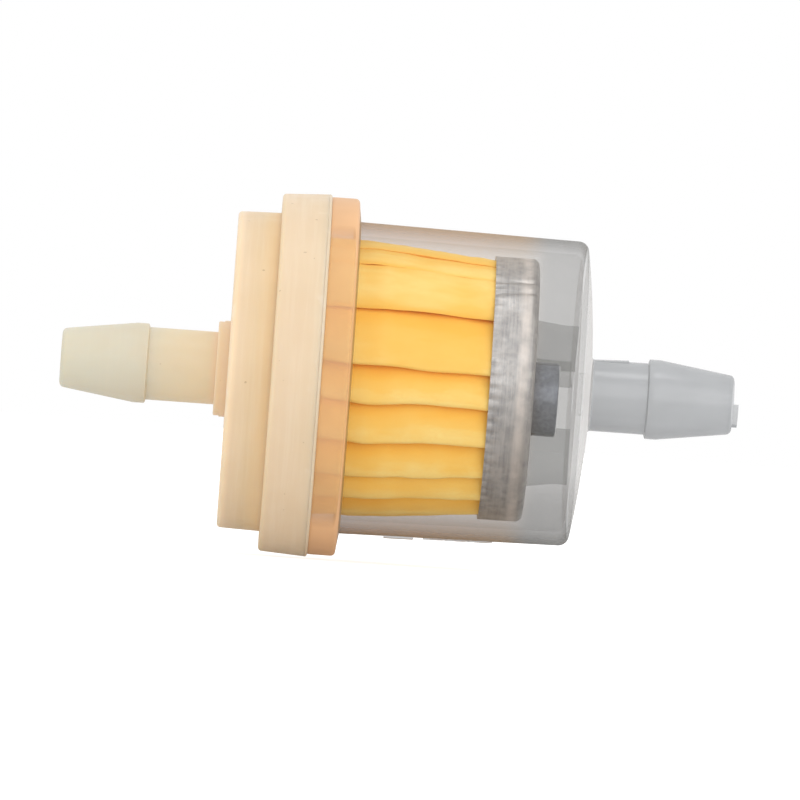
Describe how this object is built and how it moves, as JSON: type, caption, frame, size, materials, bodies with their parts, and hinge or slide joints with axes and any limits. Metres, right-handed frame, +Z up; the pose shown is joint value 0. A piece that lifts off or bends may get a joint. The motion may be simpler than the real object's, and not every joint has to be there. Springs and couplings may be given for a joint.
{
  "type": "inline fuel filter",
  "caption": "Inline fuel filter with a welded nylon cap and clear bowl, a pleated paper cone, a tin end cup, a disc magnet, and a hose barb at each end.",
  "frame": {"origin": "on the filter's axis, halfway between the two hose tips", "axes": "+X along the axis from the cap (outlet) to the clear bowl (inlet), +Z up"},
  "size_m": [0.0605, 0.0324, 0.0324],
  "materials": {
    "cap_nylon": "natural cream nylon, slightly translucent, satin",
    "bowl_nylon": "frosted clear nylon, slightly grey",
    "weld_bead": "melted and squeezed out nylon",
    "filter_paper": "resin treated yellow filter paper",
    "seam_glue": "dried glue",
    "tinned_steel": "thin tinned sheet, drawn and crimped",
    "cup_adhesive": "cured potting adhesive",
    "seat_adhesive": "cured potting adhesive",
    "ferrite": "dark sintered ferrite"
  },
  "bodies": {
    "root": {"cap_shell": "cap_nylon", "bowl_shell": "bowl_nylon", "weld_bead": "weld_bead", "pleated_paper": "filter_paper", "paper_seam_glue": "seam_glue", "end_cup": "tinned_steel", "end_cup_adhesive": "cup_adhesive", "cap_seat_adhesive": "seat_adhesive", "magnet": "ferrite"}
  },
  "joints": []
}
